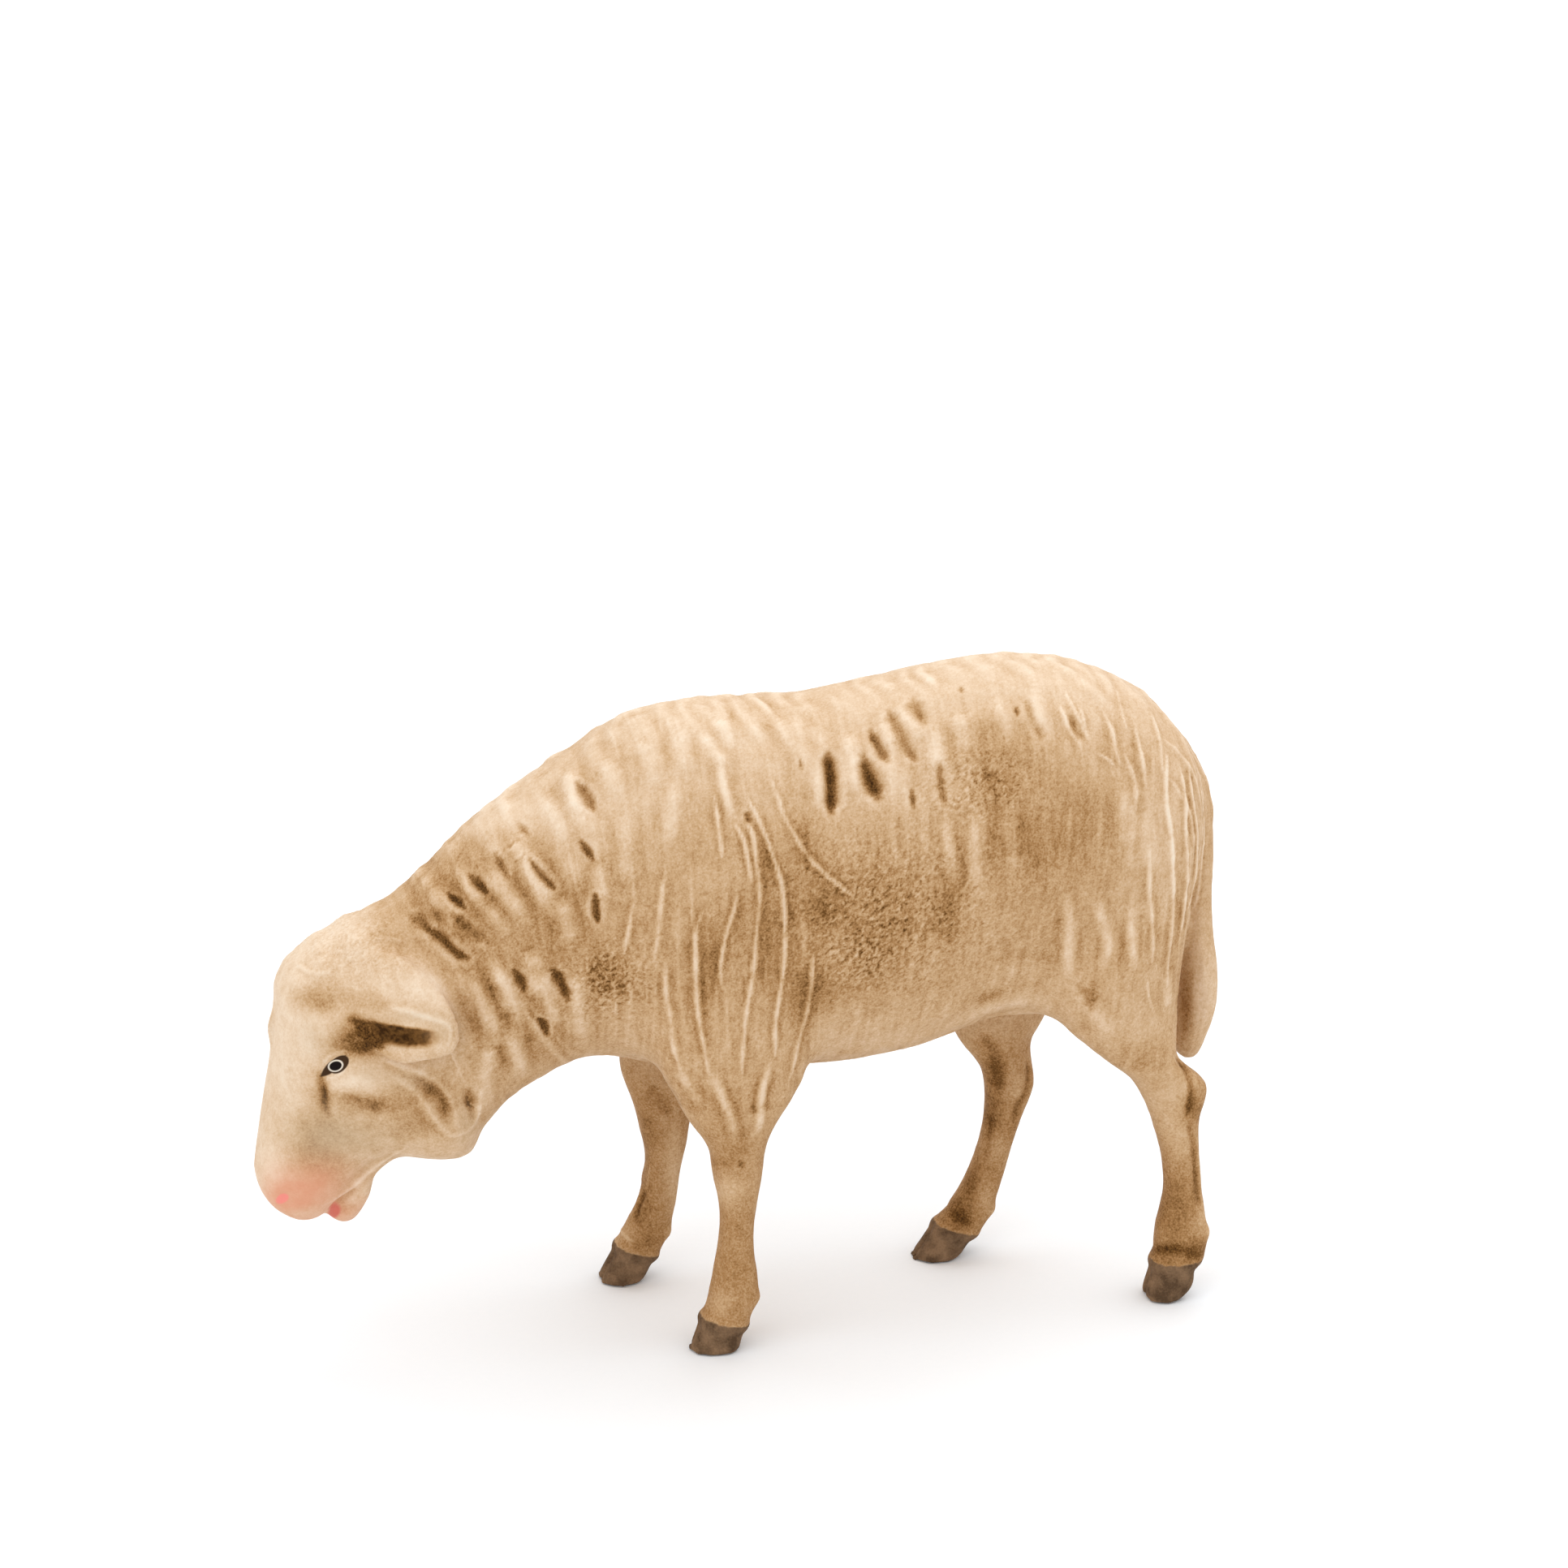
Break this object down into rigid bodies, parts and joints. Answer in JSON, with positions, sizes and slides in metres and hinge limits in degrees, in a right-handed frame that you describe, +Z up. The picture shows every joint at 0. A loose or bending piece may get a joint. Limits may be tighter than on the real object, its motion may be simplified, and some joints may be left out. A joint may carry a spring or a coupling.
{
  "type": "sheep figurine",
  "caption": "Standing sheep figurine with a lowered head, hanging ears and a long tail: a hollow painted body with legs, head, ears and tail set on.",
  "frame": {"origin": "on the ground under the middle of the figure's box", "axes": "+X towards the tail, -X towards the nose, -Y the sheep's left side, +Z up"},
  "size_m": [0.153, 0.0412, 0.1047],
  "materials": {
    "painted_body": "satin hand paint, cream with a brown wash",
    "painted_head": "satin hand paint, cream with a pink muzzle",
    "painted_leg": "satin hand paint, tan with dark hooves",
    "wire": "drawn",
    "bare_wood": "sawn",
    "seam_paper": "unpainted"
  },
  "bodies": {
    "root": {"left_body_shell": "painted_body", "right_body_shell": "painted_body", "head": "painted_head", "left_ear": "painted_head", "right_ear": "painted_head", "tail": "painted_body", "front_left_leg": "painted_leg", "front_right_leg": "painted_leg", "hind_left_leg": "painted_leg", "hind_right_leg": "painted_leg", "front_left_leg_core": "wire", "front_right_leg_core": "wire", "hind_left_leg_core": "wire", "hind_right_leg_core": "wire", "tail_pin": "wire", "neck_dowel": "bare_wood", "shoulder_block": "bare_wood", "hip_block": "bare_wood", "back_seam_strip": "seam_paper", "belly_seam_strip": "seam_paper"}
  },
  "joints": []
}
